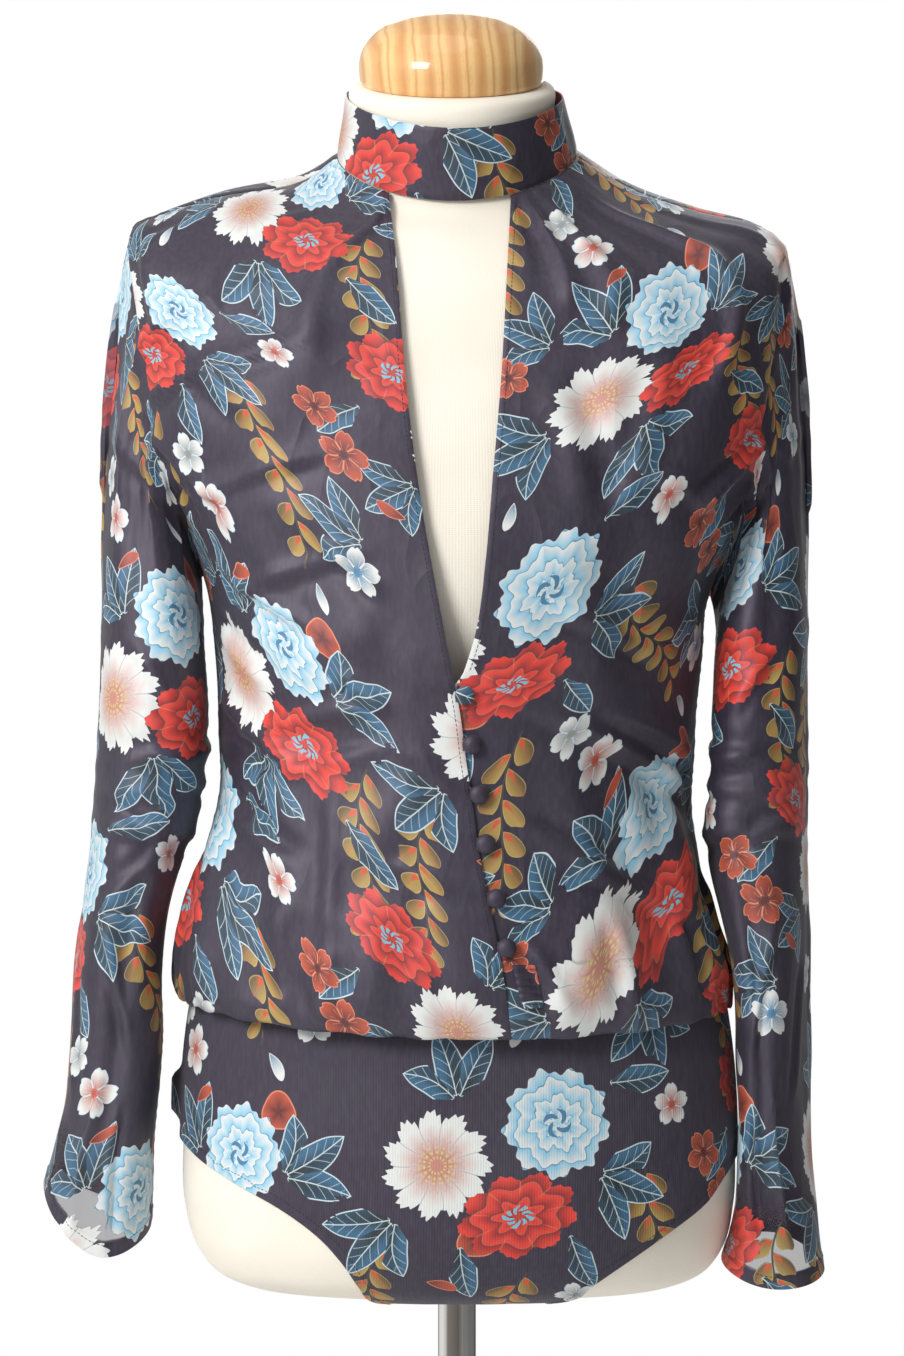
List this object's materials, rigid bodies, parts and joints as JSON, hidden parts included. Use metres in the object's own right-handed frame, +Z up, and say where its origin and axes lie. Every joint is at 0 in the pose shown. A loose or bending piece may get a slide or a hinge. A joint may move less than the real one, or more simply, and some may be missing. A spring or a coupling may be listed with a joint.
{
  "type": "bodysuit on dress form",
  "caption": "Long-sleeved satin blouse with a stand collar and a buttoned slit front, joined to a jersey brief, on a limbless dress form with a pole and a round base.",
  "frame": {"origin": "centre of the underside of the round base, on the axis of the pole", "axes": "+Z up along the pole, -Y towards the front of the garment, +X towards the wearer's left"},
  "size_m": [0.4716, 0.33, 1.2252],
  "materials": {
    "printed_satin": "printed satin with a soft sheen",
    "printed_jersey": "printed matte stretch jersey",
    "cream_jersey": "fine matte jersey stretched over the form",
    "varnished_pine": "clear gloss varnish",
    "chromed_steel": "polished"
  },
  "bodies": {
    "root": {"front_right": "printed_satin", "front_left": "printed_satin", "back": "printed_satin", "sleeve_right": "printed_satin", "sleeve_left": "printed_satin", "collar": "printed_satin", "brief_front": "printed_jersey", "brief_back": "printed_jersey", "button_1": "printed_satin", "button_2": "printed_satin", "button_3": "printed_satin", "button_4": "printed_satin", "button_5": "printed_satin", "button_6": "printed_satin", "loop_1": "printed_satin", "loop_2": "printed_satin", "loop_3": "printed_satin", "loop_4": "printed_satin", "loop_5": "printed_satin", "loop_6": "printed_satin", "placket_end": "printed_satin", "collar_button_1": "printed_satin", "collar_button_2": "printed_satin", "form_torso": "cream_jersey", "form_cap": "varnished_pine", "stand_pole": "chromed_steel", "stand_plate": "chromed_steel"}
  },
  "joints": []
}
